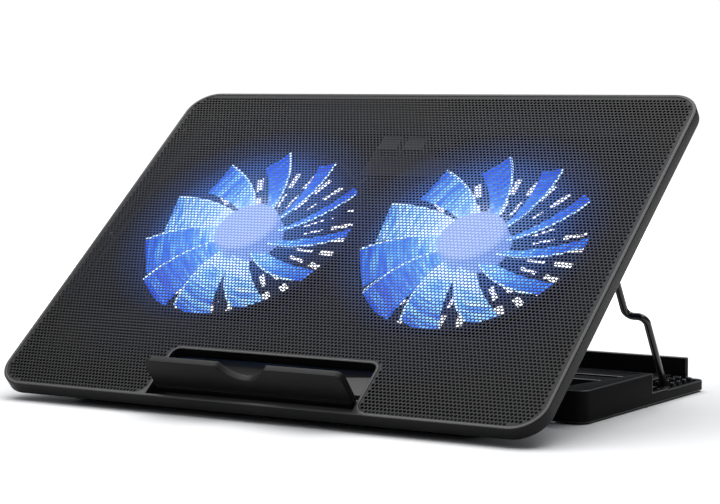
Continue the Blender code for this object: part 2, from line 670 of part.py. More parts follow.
# ---- laptop stop --------------------------------------------------------------------------
def build_stop():
    """Upright lip on two pins; it folds back into the recess. Mesh is (x, s, z) on its axis."""
    pivot = empty("stop_pivot", deck_point(0, STOP_S, STOP_T), deck_pivot)
    top = STOP_HEIGHT + STOP_T
    bottom = -2.4 * MM
    notch_half, notch_depth, corner = 16.9 * MM, 10 * MM, 4.5 * MM
    right = arc((STOP_HALF - corner, top - corner), corner, 0, 90, 4)
    notch = []
    steps = 12
    for i in range(steps + 1):
        x = notch_half * (1 - 2 * i / steps)
        notch.append((x, top - notch_depth * 0.5 * (1 + cos(pi * x / notch_half))))
    left = arc((corner - STOP_HALF, top - corner), corner, 90, 180, 4)
    outline = [(-STOP_HALF, bottom), (STOP_HALF, bottom)] + right + notch + left
    half = STOP_THICK / 2
    stop = mesh_object("laptop_stop", prism("laptop_stop", outline, -half, half, "Y"),
                       BLACK_PLASTIC, pivot)
    step_z = STOP_T - 2 * MM
    cut(stop, prism("tool_stop_step", rectangle(-half - 1 * MM, -half + 0.6 * MM,
                                                step_z - 0.5 * MM, step_z + 0.5 * MM),
                    -80 * MM, 80 * MM, "X"))
    cut(stop, prisms("tool_stop_ends", [
        (circle((0, 0), 1.2 * MM + GAP, 12), *sorted((side * 58 * MM, side * 75 * MM)))
        for side in SIDES.values()], axis="X"))
    for word, side in SIDES.items():
        name = "stop_pin_" + word
        low, high = sorted((side * 59 * MM, side * 74 * MM))
        pin = deck_piece(name, prism(name, circle((0, 0), 1.2 * MM, 12), low, high, "X"), STEEL)
        pin.location = deck_point(0, STOP_S, STOP_T)


# ---- wire bail ----------------------------------------------------------------------------
def rounded_path(corners, radius, steps):
    """Replace each inner corner of a path with an arc of the given radius."""
    points = [corners[0]]
    for before, corner, after in zip(corners, corners[1:], corners[2:]):
        inward = (before - corner).normalized()
        outward = (after - corner).normalized()
        start, end = corner + inward * radius, corner + outward * radius
        centre = corner + (inward + outward) * radius
        for i in range(steps + 1):
            share = i / steps * pi / 2
            points.append(centre + (start - centre) * cos(share) + (end - centre) * sin(share))
    return points + [corners[-1]]


def build_bail():
    """Rod bent into a U: its middle turns in the clips, its feet stand in the racks."""
    foot = Vector((0, FOOT_Y, FOOT_Z)) - world_of(0, BAIL_S, BAIL_T)
    length = hypot(foot.y, foot.z)
    angle = atan2(foot.z, foot.y) - DECK_TILT
    pivot = empty("bail_pivot", deck_point(0, BAIL_S, BAIL_T), deck_pivot, angle)

    half = [Vector((BAIL_X, 0, 0)), Vector((BAIL_X, BAIL_JOG, 0)),
            Vector((BAIL_FOOT_X, BAIL_JOG, 0)), Vector((BAIL_FOOT_X, length, 0))]
    corners = [Vector((-p.x, p.y, 0)) for p in reversed(half)] + half
    points = rounded_path(corners, 5.5 * MM, 4)

    curve = bpy.data.curves.new("bail", "CURVE")
    curve.dimensions = "3D"
    curve.bevel_depth = BAIL_ROD
    curve.bevel_resolution = 3
    curve.use_fill_caps = True
    spline = curve.splines.new("POLY")
    spline.points.add(len(points) - 1)
    for point, place in zip(spline.points, points):
        point.co = (*place, 1)
    spline.use_smooth = True
    bail = bpy.data.objects.new("bail", curve)
    bail.parent = pivot
    curve.materials.append(ROD_BLACK)
    bpy.context.collection.objects.link(bail)


def build_bail_clips():
    """Saddles under the tub that hold the bail's crossbar, one screw each."""
    top, bottom = TUB_FLOOR_BOTTOM + GAP, BAIL_T + BAIL_ROD + 1.8 * MM
    outline = [(BAIL_S - 10 * MM, -top), (BAIL_S + 5 * MM, -top), (BAIL_S + 5 * MM, -BAIL_T)] \
        + arc((BAIL_S, -BAIL_T), bottom - BAIL_T, 0, -150, 6) \
        + [(BAIL_S - 5 * MM, -(top + 2 * MM)), (BAIL_S - 10 * MM, -(top + 2 * MM))]
    outline.reverse()
    bore = circle((BAIL_S, -BAIL_T), BAIL_ROD + GAP, 16)
    for word, side in SIDES.items():
        name = "bail_clip_" + word
        low, high = sorted((side * 135 * MM, side * 143 * MM))
        clip = deck_piece(name, prism(name, outline, low, high, "X"), BLACK_PLASTIC)
        cut(clip, prism("tool_" + name, bore, low - 5 * MM, high + 5 * MM, "X"))
        hole = (side * 139 * MM, BAIL_S - 7.7 * MM)
        cut(clip, prism("tool_hole_" + name, circle(hole, 1.1 * MM, 12), -30 * MM, -15 * MM))
        screw_name = "clip_screw_" + word
        screw = deck_piece(screw_name, turned(screw_name, [
            (0, -(top - GAP / 2)), (0.8 * MM, -(top - GAP / 2)), (0.8 * MM, -(top + 2.3 * MM)),
            (1.7 * MM, -(top + 2.3 * MM)), (1.4 * MM, -(top + 3.3 * MM)),
            (0, -(top + 3.3 * MM))], 12), STEEL)
        screw.location = deck_point(*hole, 0)


build_base()
build_feet()
build_racks()
build_hinge_pins()
build_top_frame()
build_mesh_panel()
build_bottom_cover()
build_cover_screws()
for side_word, side_sign in SIDES.items():
    build_fan(side_word, side_sign)
build_electronics()
build_stop()
build_bail()
build_bail_clips()

print("deck hinge", HINGE_Y, HINGE_Z, "bail pivot", world_of(0, BAIL_S, BAIL_T),
      "tilt", degrees(DECK_TILT))
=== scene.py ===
"""Laptop cooling pad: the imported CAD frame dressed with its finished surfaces.

Metres, +Z up. Every piece lies where the CAD puts it. The sections follow the order in which
the pad goes together: stage, base, feet and pins, bail, deck frame, bottom cover, perforated
sheet, fans, ports and switch, laptop stop, screws.
"""
import json
from math import radians

import bmesh
import bpy
import numpy as np
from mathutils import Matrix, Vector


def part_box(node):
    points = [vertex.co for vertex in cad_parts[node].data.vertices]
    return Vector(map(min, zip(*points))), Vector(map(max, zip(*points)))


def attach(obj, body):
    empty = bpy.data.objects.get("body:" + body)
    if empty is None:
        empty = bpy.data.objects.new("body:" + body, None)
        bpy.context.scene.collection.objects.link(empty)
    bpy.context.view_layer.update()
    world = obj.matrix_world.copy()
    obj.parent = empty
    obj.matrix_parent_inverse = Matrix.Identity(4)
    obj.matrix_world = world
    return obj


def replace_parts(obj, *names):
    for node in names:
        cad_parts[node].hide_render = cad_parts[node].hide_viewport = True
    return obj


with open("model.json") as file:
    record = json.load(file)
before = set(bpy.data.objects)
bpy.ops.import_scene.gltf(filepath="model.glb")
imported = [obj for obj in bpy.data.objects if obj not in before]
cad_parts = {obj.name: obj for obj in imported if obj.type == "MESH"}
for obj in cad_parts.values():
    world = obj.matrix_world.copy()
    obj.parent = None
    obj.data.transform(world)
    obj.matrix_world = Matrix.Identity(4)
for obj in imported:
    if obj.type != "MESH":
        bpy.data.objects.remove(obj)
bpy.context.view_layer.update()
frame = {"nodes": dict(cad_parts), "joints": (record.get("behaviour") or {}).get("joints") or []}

joints = {joint["name"]: joint for joint in frame["joints"]}

# ---- Stage -------------------------------------------------------------------------------
# A pale seamless floor, one wide soft box overhead, a weaker one from the left and a dim
# room. The camera stands low at the front right, with a long lens.
camera = bpy.data.objects.new("camera", bpy.data.cameras.new("camera"))
camera.data.lens = 110.8
camera.data.sensor_width = 36
camera.data.clip_end = 50
camera.location = (0.7289, -1.1678, 0.1953)
camera.rotation_euler = (radians(85.645), 0, radians(32.073))
bpy.context.collection.objects.link(camera)
bpy.context.scene.camera = camera
bpy.context.scene.view_settings.view_transform = "Standard"


def soft_box(name, place, turn, width, height, power):
    """A white area light at place, turned by Euler angles in degrees."""
    light = bpy.data.lights.new(name, "AREA")
    light.shape = "RECTANGLE"
    light.size, light.size_y = width, height
    light.energy = power
    box = bpy.data.objects.new(name, light)
    box.location = place
    box.rotation_euler = [radians(angle) for angle in turn]
    bpy.context.collection.objects.link(box)


soft_box("overhead_box", place=(-0.3, 0.5, 2.2), turn=(0, 0, 0), width=3.6, height=3.6, power=150)
soft_box("left_box", place=(-1.6, -1.2, 1.1), turn=(62, 0, -52), width=0.9, height=1.2, power=7)

world = bpy.data.worlds.new("room")
bpy.context.scene.world = world
world.use_nodes = True
room = world.node_tree
sky = room.nodes["Background"]
sky.inputs["Color"].default_value = (0.9, 0.95, 1, 1)
sky.inputs["Strength"].default_value = 0.2
backdrop = room.nodes.new("ShaderNodeBackground")
backdrop.inputs["Color"].default_value = (1, 1, 1, 1)
backdrop.inputs["Strength"].default_value = 1.05
choose = room.nodes.new("ShaderNodeMixShader")
rays = room.nodes.new("ShaderNodeLightPath")
room.links.new(rays.outputs["Is Camera Ray"], choose.inputs[0])
room.links.new(sky.outputs[0], choose.inputs[1])
room.links.new(backdrop.outputs[0], choose.inputs[2])
room.links.new(choose.outputs[0], room.nodes["World Output"].inputs["Surface"])


class Shade:
    """One socket of a material. Arithmetic on it adds Math nodes, and node() any other."""

    def __init__(self, tree, socket):
        self.tree, self.socket = tree, socket

    def node(self, kind, settings, values, out=0):
        """A new node with its settings made first, then its sockets' values or links."""
        made = self.tree.nodes.new("ShaderNode" + kind)
        for key, value in settings.items():
            if key == "stops":
                steps = made.color_ramp.elements
                steps[0].position, steps[-1].position = value[0][0], value[-1][0]
                steps[0].color, steps[-1].color = (*value[0][1], 1), (*value[-1][1], 1)
                for place, colour in value[1:-1]:
                    steps.new(place).color = (*colour, 1)
            else:
                setattr(made, key, value)
        for key, value in values.items():
            if isinstance(value, Shade):
                self.tree.links.new(value.socket, made.inputs[key])
            else:
                made.inputs[key].default_value = value
        return Shade(self.tree, made.outputs[out])

    def math(self, operation, *values):
        """A Math node on the values given; the socket itself counts only if it is one."""
        return self.node("Math", {"operation": operation}, dict(enumerate(values)))

    def __add__(self, other):
        return self.math("ADD", self, other)

    def __mul__(self, other):
        return self.math("MULTIPLY", self, other)

    def __sub__(self, other):
        return self.math("SUBTRACT", self, other)

    def __rsub__(self, other):
        return self.math("SUBTRACT", other, self)

    def __pow__(self, other):
        return self.math("POWER", self, other)

    __radd__, __rmul__ = __add__, __mul__

    def step(self, low, high):
        """0 below low, 1 above high, and smooth between them."""
        return self.node("MapRange", {"interpolation_type": "SMOOTHSTEP"},
                         {"Value": self, "From Min": low, "From Max": high})

    def between(self, first, second):
        """The colour that lies this far from first to second."""
        return self.node("Mix", {"data_type": "RGBA"},
                         {"Factor": self, 6: first, 7: second}, out=2)


def new_finish(name, colour, roughness, metallic=0.0, specular=0.5):
    """A Principled material, its shader node, and its Object coordinates as a Shade."""
    finish = bpy.data.materials.new(name)
    finish.use_nodes = True
    tree = finish.node_tree
    shader = tree.nodes["Principled BSDF"]
    shader.inputs["Base Color"].default_value = (*colour, 1)
    shader.inputs["Roughness"].default_value = roughness
    shader.inputs["Metallic"].default_value = metallic
    shader.inputs["Specular IOR Level"].default_value = specular
    place = tree.nodes.new("ShaderNodeTexCoord").outputs["Object"]
    return finish, shader, Shade(tree, place)


def feed(shader, socket, shade):
    """Let a worked-out value drive one of the shader's sockets."""
    shade.tree.links.new(shade.socket, shader.inputs[socket])


def skin(name, points, body, finish, around=False, along=False, smooth=35):
    """Mesh of a grid of points: quads between neighbours, doubles merged, faces outwards.

    around joins the last column to the first, along the last row to the first. Edges
    sharper than smooth degrees stay crisp. The piece rides on the body, if it has one.
    """
    rows, columns = points.shape[:2]
    index = np.arange(rows * columns).reshape(rows, columns)
    if along:
        index = np.vstack((index, index[:1]))
    if around:
        index = np.hstack((index, index[:, :1]))
    quads = np.stack((index[:-1, :-1], index[1:, :-1], index[1:, 1:], index[:-1, 1:]), -1)
    mesh = bpy.data.meshes.new(name)
    mesh.from_pydata(points.reshape(-1, 3).tolist(), [], quads.reshape(-1, 4).tolist())
    work = bmesh.new()
    work.from_mesh(mesh)
    bmesh.ops.remove_doubles(work, verts=work.verts, dist=1e-6)
    bmesh.ops.dissolve_degenerate(work, edges=work.edges, dist=1e-7)
    bmesh.ops.recalc_face_normals(work, faces=work.faces)
    work.to_mesh(mesh)
    work.free()
    mesh.shade_smooth()
    mesh.set_sharp_from_angle(angle=radians(smooth))
    piece = bpy.data.objects.new(name, mesh)
    bpy.context.collection.objects.link(piece)
    mesh.materials.append(finish)
    if body:
        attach(piece, body)
    return piece


PAPER_DARK, PAPER_LIGHT = (0.6, 0.6, 0.605, 1), (0.63, 0.63, 0.635, 1)
DARK, WHITE = (0, 0, 0, 1), (1, 1, 1, 1)
FADE_NEAR, FADE_FAR = 0.25, 0.8
paper, paper_shader, paper_place = new_finish("floor_paper", (0.62, 0.62, 0.625), 0.8, 0, 0.2)
paper_tone = paper_place.node("TexNoise", {}, {"Vector": paper_place, "Scale": 3})
feed(paper_shader, "Base Color", paper_tone.between(PAPER_DARK, PAPER_LIGHT))
far = paper_place.node("VectorMath", {"operation": "LENGTH"}, {0: paper_place}, out=1)
feed(paper_shader, "Emission Color", far.step(FADE_NEAR, FADE_FAR).between(DARK, WHITE))
paper_shader.inputs["Emission Strength"].default_value = 1
floor_x, floor_y = np.meshgrid(np.linspace(-6, 6, 13), np.linspace(-4, 12, 17))
floor = skin("floor", np.stack((floor_x, floor_y, 0 * floor_x), -1), None, paper)

# ---- Base --------------------------------------------------------------------------------
# One black ABS moulding: two rails, a rear wall, a slotted shelf and the two hinge arms.
# Satin faces with rounded edges; the toothed racks, moulded apart, sit in its rear corners.
# The rounded edges' colour is lighter than the faces' black: a painted highlight.
BLACK_ABS, ABS_EDGE_HIGHLIGHT = (0.007, 0.007, 0.0074), (0.012, 0.012, 0.0125)
SATIN_IOR = 1.14
BASE_ROUND, SMALL_ROUND = 0.0006, 0.0004


def moulded(name, colour, roughness, grain=0.00005, specular=0.4):
    """Moulded plastic: fine spark-eroded grain, and gloss and tone that are a little uneven."""
    finish, shader, place = new_finish(name, colour, roughness, 0, specular)
    darker, lighter = (tuple(part * np.array(colour)) + (1,) for part in (0.85, 1.2))
    fine = place.node("TexNoise", {}, {"Vector": place, "Scale": 2600, "Detail": 2})
    broad = place.node("TexNoise", {}, {"Vector": place, "Scale": 60, "Detail": 3})
    feed(shader, "Roughness", broad * 0.12 + (roughness - 0.06))
    feed(shader, "Base Color", broad.between(darker, lighter))
    feed(shader, "Normal", place.node("Bump", {}, {
        "Height": fine, "Strength": 0.5, "Distance": grain}))
    return finish


black = moulded("satin_black", BLACK_ABS, 0.5, specular=0.2)
black.node_tree.nodes["Principled BSDF"].inputs["IOR"].default_value = SATIN_IOR
# The rounded edges get a lighter, glossier finish than the faces, as a painted highlight.
edge_highlight_finish = moulded("black_edge_painted_highlight", ABS_EDGE_HIGHLIGHT, 0.32, specular=0.6)


def eased(node, body, finish, width, segments=3, edge_finish=None):
    """A copy of a CAD node with its doubles merged and its edges rounded by width; the
    rounded strips can carry a finish of their own."""
    corner_angle = radians(32)
    mesh = frame["nodes"][node].data.copy()
    work = bmesh.new()
    work.from_mesh(mesh)
    bmesh.ops.remove_doubles(work, verts=work.verts, dist=2e-6)
    work.to_mesh(mesh)
    work.free()
    mesh.materials.clear()
    mesh.materials.append(finish)
    mesh.shade_smooth()
    mesh.set_sharp_from_angle(angle=corner_angle)
    piece = bpy.data.objects.new(node + "_eased", mesh)
    bpy.context.collection.objects.link(piece)
    if width:
        edge = piece.modifiers.new("rounded_edges", "BEVEL")
        edge.width = width
        edge.segments = segments
        edge.limit_method = "ANGLE"
        edge.angle_limit = corner_angle
        edge.use_clamp_overlap = False
        edge.harden_normals = True
        if edge_finish:
            mesh.materials.append(edge_finish)
            edge.material = 1
    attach(piece, body)
    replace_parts(piece, node)


eased("base_frame", "base", black, BASE_ROUND, 3, edge_highlight_finish)
for side in ("left", "right"):
    eased("rack_" + side, "base", black, SMALL_ROUND, 2, edge_highlight_finish)

# ---- Feet and hinge pins -----------------------------------------------------------------
# Four soft rubber discs pressed into the base, their faces ringed for grip. Two bright
# steel pins carry the deck on the base's forks.
FOOT_PROFILE = np.array([
    (0, 0.3), (1.2, 0.3), (1.5, 0), (2.6, 0), (2.9, 0.3), (3.2, 0.3), (3.5, 0), (4.8, 0),
    (5.6, 0.2), (6, 0.7), (6, 2.1), (0, 2.1)]) / 1000
rubber = moulded("foot_rubber", (0.016, 0.016, 0.017), 0.85, grain=0.00012, specular=0.25)


def turned(name, profile, centre, up, body, finish, steps=48, smooth=35):
    """Surface of revolution: each radius and height of the profile, carried round the axis
    that runs from centre along up."""
    up = np.array(up, float)
    side_axis = np.cross(up, (0, 1, 0.3))
    side_axis /= np.linalg.norm(side_axis)
    other = np.cross(up, side_axis)
    angle = np.linspace(0, 2 * np.pi, steps, endpoint=False)
    ring = np.cos(angle)[:, None] * side_axis + np.sin(angle)[:, None] * other
    points = (np.array(centre) + profile[:, None, 1:] * up
              + profile[:, None, :1] * ring[None])
    return skin(name, points, body, finish, around=True, smooth=smooth)


def dress(node, finish):
    """Give a carried-over CAD node its finish."""
    slots = frame["nodes"][node].data.materials
    slots.clear()
    slots.append(finish)


for node in ("foot_front_left", "foot_front_right", "foot_rear_left", "foot_rear_right"):
    low, high = (np.array(corner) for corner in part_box(node))
    middle_x, middle_y, _ = (low + high) / 2
    pad = turned(node + "_pad", FOOT_PROFILE, (middle_x, middle_y, 0), (0, 0, 1), "base", rubber)
    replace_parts(pad, node)

steel, steel_shader, steel_place = new_finish("bright_steel", (0.55, 0.56, 0.58), 0.28, metallic=1)
brushed = steel_place.node("TexNoise", {}, {"Vector": steel_place, "Scale": 900, "Detail": 4})
feed(steel_shader, "Roughness", brushed * 0.2 + 0.18)
for node in ("hinge_pin_left", "hinge_pin_right"):
    dress(node, steel)

# ---- Bail --------------------------------------------------------------------------------
# A 4.6 mm steel rod, cold bent into a U with a dogleg in each leg and dip coated in gloss
# black. Its middle turns in two clips under the tub, and its feet stand in the racks.
gloss, gloss_shader, gloss_place = new_finish("gloss_black_coat", (0.006, 0.006, 0.0065), 0.16)
ripple = gloss_place.node("TexNoise", {}, {"Vector": gloss_place, "Scale": 240, "Detail": 2})
feed(gloss_shader, "Roughness", ripple * 0.12 + 0.1)
feed(gloss_shader, "Normal", gloss_place.node("Bump", {}, {
    "Height": ripple, "Strength": 0.3, "Distance": 0.0001}))

ROD_RADIUS, BEND_RADIUS = 0.0023, 0.0055
TOP_HALF, FOOT_HALF, DOGLEG_DROP = 0.15, 0.1633, 0.068
GROOVE_Y, GROOVE_Z = 0.0904, 0.008
bail_top = np.array(joints["bail_swing"]["pos_m"])
bail_foot = np.array([0, GROOVE_Y, GROOVE_Z])
bail_length = np.linalg.norm(bail_foot - bail_top)
down_leg = (bail_foot - bail_top) / bail_length


def bent(corners, radius, steps=10):
    """Path through corners, each inner one replaced by a quarter turn of the radius about
    the point that lies a radius along both of its sides."""
    path = [corners[:1]]
    share = np.linspace(0, np.pi / 2, steps)[:, None]
    for before, corner, after in zip(corners, corners[1:], corners[2:]):
        back_way = (before - corner) / np.linalg.norm(before - corner)
        on_way = (after - corner) / np.linalg.norm(after - corner)
        middle = corner + (back_way + on_way) * radius
        path.append(middle - on_way * radius * np.cos(share) - back_way * radius * np.sin(share))
    return np.vstack(path + [corners[-1:]])


def rod(name, path, radius, body, finish, steps=28):
    """A round bar: a circle carried along the path, square to it, and drawn in to a point
    at each end. The path lies in the plane of the bail's legs."""
    lengths = np.r_[0, np.cumsum(np.linalg.norm(np.diff(path, axis=0), axis=1))]
    ways = np.gradient(path, lengths, axis=0)
    ways /= np.linalg.norm(ways, axis=1)[:, None]
    curl = np.linspace(0, np.pi / 2, 6)[:-1]
    set_back = radius * 0.5 * (np.cos(curl) - 1)[:, None]
    spine = np.vstack((path[0] + ways[0] * set_back, path[1:-1],
                       path[-1] + ways[-1] * set_back[::-1]))
    ways = np.vstack((np.repeat(ways[:1], len(curl), 0), ways[1:-1],
                      np.repeat(ways[-1:], len(curl), 0)))
    sizes = radius * np.r_[np.sin(curl), np.ones(len(path) - 2), np.sin(curl[::-1])]
    plane = np.cross((1, 0, 0), down_leg)
    second = np.cross(ways, plane)
    angle = np.linspace(0, 2 * np.pi, steps, endpoint=False)
    circle = (np.cos(angle)[None, :, None] * plane
              + np.sin(angle)[None, :, None] * second[:, None])
    points = spine[:, None] + sizes[:, None, None] * circle
    return skin(name, points, body, finish, around=True, smooth=60)


half_bail = np.array([(TOP_HALF, 0), (TOP_HALF, DOGLEG_DROP), (FOOT_HALF, DOGLEG_DROP),
                      (FOOT_HALF, bail_length)])
bail_plan = np.vstack((half_bail[::-1] * (-1, 1), half_bail))
bail_corners = bail_top + bail_plan[:, :1] * np.array([1, 0, 0]) + bail_plan[:, 1:] * down_leg
bail_rod = rod("bail_rod", bent(bail_corners, BEND_RADIUS), ROD_RADIUS, "bail", gloss)
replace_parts(bail_rod, "bail")
for side in ("left", "right"):
    eased("bail_clip_" + side, "deck", black, SMALL_ROUND, 2)

# ---- Deck top frame ----------------------------------------------------------------------
# The charcoal ABS surround of the deck: a skirt with an eased rim, a ledge that carries the
# sheet, and at the front the walls of the stop's recess with hollow corners.
deck_up = np.array(joints["fan_left_spin"]["axis"])
deck_slope = np.array([0, deck_up[2], -deck_up[1]])
HINGE_IN, HINGE_DOWN = 0.026, 0.014
deck_front = (np.array(joints["deck_tilt"]["pos_m"]) - HINGE_IN * deck_slope
              + HINGE_DOWN * deck_up)
deck_top = float(deck_front @ deck_up)
HALF_WIDTH, DEPTH, CORNER = 0.19, 0.281, 0.0195
RECESS_HALF, RECESS_FRONT, RECESS_REAR, RECESS_CORNER = 0.07225, 0.002, 0.04, 0.005
WALL, HOLLOW, HOLLOW_END = 0.0018, 0.007, 0.0096
CHARCOAL, CHARCOAL_TOP_SHEEN = (0.007, 0.007, 0.0075, 1), (0.016, 0.016, 0.017, 1)
charcoal, charcoal_shader, charcoal_place = new_finish(
    "satin_charcoal", (0.008, 0.008, 0.0085), 0.42, 0, 0.12)
height = charcoal_place.node("VectorMath", {"operation": "DOT_PRODUCT"},
                             {0: charcoal_place, 1: deck_up}, out=1)
# Faces at the deck's top level are painted lighter and coated: a painted sheen on the upward
# faces.
painted_top_sheen = (height.step(deck_top - 0.0003, deck_top - 0.0001)
          * (1 - height.step(deck_top + 0.0002, deck_top + 0.0004)))
feed(charcoal_shader, "Base Color", painted_top_sheen.between(CHARCOAL, CHARCOAL_TOP_SHEEN))
feed(charcoal_shader, "Coat Weight", painted_top_sheen * 0.35)
charcoal_shader.inputs["Coat Roughness"].default_value = 0.4
grain = charcoal_place.node("TexNoise", {}, {"Vector": charcoal_place, "Scale": 2600})
feed(charcoal_shader, "Roughness", grain * 0.15 + 0.35)
feed(charcoal_shader, "Normal", charcoal_place.node("Bump", {}, {
    "Height": grain, "Strength": 0.5, "Distance": 0.00005}))


def on_deck(x, s, t):
    """World points: x to the right, s up the slope from the front edge, t down into it."""
    x, s, t = np.broadcast_arrays(x, s, t)
    return deck_front + np.stack((x, 0 * x, 0 * x), -1) + s[..., None] * deck_slope \
        - t[..., None] * deck_up


def outline(steps=14):
    """The deck's outline and its outward directions: four quarter circles, one about each
    corner's centre, and four places more along the front, where the recess cuts in."""
    sweep = np.linspace(0, np.pi / 2, steps)
    spots, outs = [], []
    for quarter in range(4):
        angle = quarter * np.pi / 2 - np.pi / 2 + sweep
        x0 = (HALF_WIDTH - CORNER) * (1 if quarter in (0, 1) else -1)
        s0 = DEPTH / 2 + (DEPTH / 2 - CORNER) * (1 if quarter in (1, 2) else -1)
        outs.append(np.stack((np.cos(angle), np.sin(angle)), -1))
        spots.append(np.array([x0, s0]) + CORNER * outs[-1])
    spots, outs = np.vstack(spots), np.vstack(outs)
    front = RECESS_HALF * np.array([-1, -0.9999, 0.9999, 1])
    spots = np.vstack((spots, np.stack((front, 0 * front), -1)))
    outs = np.vstack((outs, np.repeat([[0.0, -1.0]], 4, 0)))
    return spots, outs


rim_path, rim_out = outline()
# Reach from the outline and depth, both in mm.
rim_profile = np.array([
    (-2.3, 1.2), (-2.3, 0.3), (-2.2, 0.08), (-2.0, 0.0), (-0.75, 0.0), (-0.45, 0.05),
    (-0.15, 0.25), (-0.03, 0.5), (0.0, 0.9), (0.0, 7.7), (-0.06, 8.1), (-0.2, 8.35),
    (-0.45, 8.46), (-1.6, 8.46), (-1.85, 8.38), (-2.0, 8.15), (-2.0, 2.4), (-5.2, 2.4),
    (-5.2, 1.2)]) * 0.001
reach = np.repeat(rim_profile[None, :, 0], len(rim_path), 0)
at_recess = (np.abs(rim_path[:, 0]) < RECESS_HALF) & (rim_path[:, 1] < 0.001)
reach[at_recess] = np.maximum(reach[at_recess], -RECESS_FRONT)
rim_spots = rim_path[:, None] + rim_out[:, None] * reach[..., None]
rim = skin("deck_rim", on_deck(rim_spots[..., 0], rim_spots[..., 1], rim_profile[None, :, 1]),
           "deck", charcoal, around=True, along=True)
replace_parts(rim, "top_frame")


def recess_path():
    """Inner line of the recess from its left front to its right front, as places, outward
    directions and wall widths. Its rear corners are quarter circles. Towards the front the
    wall widens along a hollow arc: by its radius less the arc's height at that place."""
    side_s = np.concatenate((np.linspace(RECESS_FRONT, HOLLOW_END, 12), [0.02, 0.03]))
    sweep = np.linspace(0, np.pi / 2, 9)
    round_out = np.stack((np.cos(sweep), np.sin(sweep)), -1)
    corner = np.array([RECESS_HALF - RECESS_CORNER, RECESS_REAR - RECESS_CORNER])
    right_side = np.stack((0 * side_s + RECESS_HALF, side_s), -1)
    places = np.vstack((right_side, corner + RECESS_CORNER * round_out))
    outs = np.vstack((np.repeat([[1.0, 0.0]], len(side_s), 0), round_out))
    widths = np.full(len(places), WALL)
    drop = np.clip(HOLLOW_END - places[:, 1], 0, HOLLOW)
    widths += HOLLOW - np.sqrt(HOLLOW ** 2 - drop ** 2)
    flip = np.array([-1, 1])
    places = np.vstack((places * flip, places[::-1]))
    outs = np.vstack((outs * flip, outs[::-1]))
    return places, outs, np.r_[widths, widths[::-1]]


wall_places, wall_outs, wall_widths = recess_path()
# Share of the wall's width, and depth in mm; where the wall is widened its outer foot stops
# above the sheet's ledge.
wall_profile = np.array([(0, 6.6), (0, 0.35), (0.05, 0.1), (0.14, 0.0), (0.8, 0.0), (0.93, 0.06),
                         (1, 0.25), (1, 6.6)])
wall_reach = wall_profile[None, :, 0] * wall_widths[:, None]
wall_spots = wall_places[:, None] + wall_outs[:, None] * wall_reach[..., None]
outer_foot = (wall_profile[None, :, 0] > 0.9) & (wall_profile[None, :, 1] > 2)
widened = wall_widths[:, None] > WALL + 0.0001
wall_deep = 0.001 * np.where(outer_foot & widened, 1.2, wall_profile[None, :, 1])
skin("recess_wall", on_deck(wall_spots[..., 0], wall_spots[..., 1], wall_deep), "deck", charcoal,
     around=True)

# ---- Bottom cover ------------------------------------------------------------------------
# The black tray screwed up under the deck: a flat flange, a tub round the fans with two
# rings of radial vents under each, hinge lugs, and ports in its rear wall. The recess's
# floor is polished a little; the rest is grained.
EDGE_BLEND = 0.0005
cover_black = moulded("cover_black", BLACK_ABS, 0.5, specular=0.2)
cover_shader = cover_black.node_tree.nodes["Principled BSDF"]
cover_shader.inputs["IOR"].default_value = SATIN_IOR
cover_shader.inputs["Coat Roughness"].default_value = 0.4
cover_place = Shade(cover_black.node_tree,
                    cover_black.node_tree.nodes.new("ShaderNodeTexCoord").outputs["Object"])
up_deck = cover_place.node("VectorMath", {"operation": "DOT_PRODUCT"},
                           {0: cover_place, 1: deck_slope}, out=1)
sideways = cover_place.node("SeparateXYZ", {}, {0: cover_place}, out=0)
off_middle = sideways.math("ABSOLUTE", sideways)
recess_rear = float(deck_front @ deck_slope) + RECESS_REAR
in_recess = ((1 - up_deck.step(recess_rear - EDGE_BLEND, recess_rear))
             * (1 - off_middle.step(RECESS_HALF - EDGE_BLEND, RECESS_HALF)))
feed(cover_shader, "Coat Weight", in_recess * 0.6)
eased("bottom_cover", "deck", cover_black, 0)

# ---- Perforated sheet --------------------------------------------------------------------
# Thin steel sheet, punched with staggered round holes 2.5 mm apart and powder coated dark
# grey. It lies on the frame's ledge; the fans' blue light over its web is a painted glow.
PITCH, ROW, HOLE = 0.0025, 0.00251, 0.00106
SHEET_TOP, SHEET_THICK = 0.0003, 0.0003
BORDER_GAP, NOTCH_GAP, NOTCH_CORNER, SCALLOP_S = 0.0024, 0.0019, 0.0069, 0.0094
MARGIN, SMALL_STEP = 0.0003, 1e-6
GLOW_REACH = 0.13


def outside(x, s):
    """Distance of deck places outside the sheet's edge, negative on the sheet: the greatest
    of those from a rounded rectangle, from the outside of the recess's rounded notch, and
    from the two scallops beside it."""
    def box(dx, ds, radius):
        """Distance past a rounded corner, given the offsets from its centre."""
        return (np.hypot(np.maximum(dx, 0), np.maximum(ds, 0))
                + np.minimum(np.maximum(dx, ds), 0) - radius)
    x = np.abs(x)
    half, radius = HALF_WIDTH - BORDER_GAP, CORNER - BORDER_GAP
    from_middle = np.abs(s - DEPTH / 2)
    sheet = box(x - half + radius, from_middle - (DEPTH / 2 - BORDER_GAP - radius), radius)
    notch_half, notch_rear = RECESS_HALF + NOTCH_GAP, RECESS_REAR + NOTCH_GAP
    notch = box(x - notch_half + NOTCH_CORNER, s - notch_rear + NOTCH_CORNER, NOTCH_CORNER)
    scallop = np.hypot(x - notch_half - HOLLOW, s - SCALLOP_S) - HOLLOW
    scallop = np.where((x < notch_half + HOLLOW) & (s < SCALLOP_S), scallop, -1)
    return np.maximum(np.maximum(sheet, -notch), scallop)


